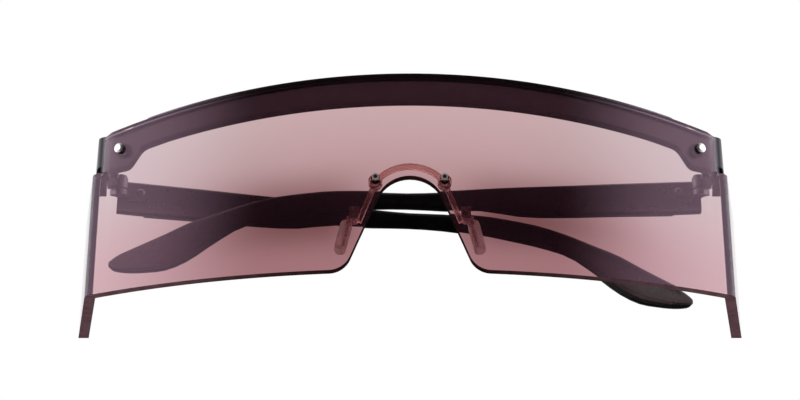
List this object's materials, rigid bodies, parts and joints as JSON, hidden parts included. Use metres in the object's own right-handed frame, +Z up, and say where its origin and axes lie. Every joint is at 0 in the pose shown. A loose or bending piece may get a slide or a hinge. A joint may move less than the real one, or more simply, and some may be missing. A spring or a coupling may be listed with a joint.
{
  "type": "wraparound sunglasses",
  "caption": "Shield sunglasses with a pink tinted wrap lens, black brow bar, clear nose bridge and folding black temples",
  "frame": {"origin": "middle of the width and of the depth, on the plane that the lower edges of the lens and its wings stand on", "axes": "+X to the wearer's left, +Y back towards the wearer's ears, +Z up; the front of the lens faces -Y"},
  "size_m": [0.1636, 0.0516, 0.0491],
  "materials": {
    "lens": "transparent mauve-pink tint, polished",
    "frame": "polished black",
    "bridge": "translucent pink-brown, polished",
    "pad": "translucent, satin",
    "core": "dark red, satin",
    "arm": "dark translucent, polished",
    "steel": "bright plated",
    "dark_steel": "dark oxide, satin"
  },
  "bodies": {
    "front": {"shield_lens": "lens", "brow_bar": "frame", "lens_screw_left": "steel", "lens_screw_right": "steel", "lens_nut_left": "dark_steel", "lens_nut_right": "dark_steel", "nose_bridge": "bridge", "bridge_screw_left": "steel", "bridge_screw_right": "steel", "bridge_nut_left": "dark_steel", "bridge_nut_right": "dark_steel", "pad_arm_left": "arm", "pad_arm_right": "arm", "frame_hinge_left": "steel", "frame_hinge_right": "steel", "frame_leaf_screw_left": "dark_steel", "frame_leaf_screw_right": "dark_steel", "hinge_screw_left": "steel", "hinge_screw_right": "steel"},
    "temple_left_body": {"temple_left": "frame", "temple_hinge_left": "steel", "temple_rivet_left": "steel", "temple_core_left": "dark_steel"},
    "temple_right_body": {"temple_right": "frame", "temple_hinge_right": "steel", "temple_rivet_right": "steel", "temple_core_right": "dark_steel"},
    "nose_pad_left_body": {"nose_pad_left": "pad", "pad_core_left": "core"},
    "nose_pad_right_body": {"nose_pad_right": "pad", "pad_core_right": "core"}
  },
  "joints": [
    {"name": "temple_left_fold", "type": "hinge", "parent": "front", "child": "temple_left_body", "pos_m": [-0.0704, 0.01018, 0.0339], "axis": [0, 0, 1], "range_deg": [0, 80.7]},
    {"name": "temple_right_fold", "type": "hinge", "parent": "front", "child": "temple_right_body", "pos_m": [0.0704, 0.01018, 0.0339], "axis": [0, 0, -1], "range_deg": [0, 91.3]},
    {"name": "nose_pad_left_rock", "type": "hinge", "parent": "front", "child": "nose_pad_left_body", "pos_m": [-0.0127, -0.01772, 0.0147], "axis": [0, 1, 0], "range_deg": [-8, 8]},
    {"name": "nose_pad_right_rock", "type": "hinge", "parent": "front", "child": "nose_pad_right_body", "pos_m": [0.0127, -0.01772, 0.0147], "axis": [0, 1, 0], "range_deg": [-8, 8]}
  ],
  "couplings": [
    {"joint": "temple_right_fold", "follows": "temple_left_fold", "ratio": 0.5}
  ]
}
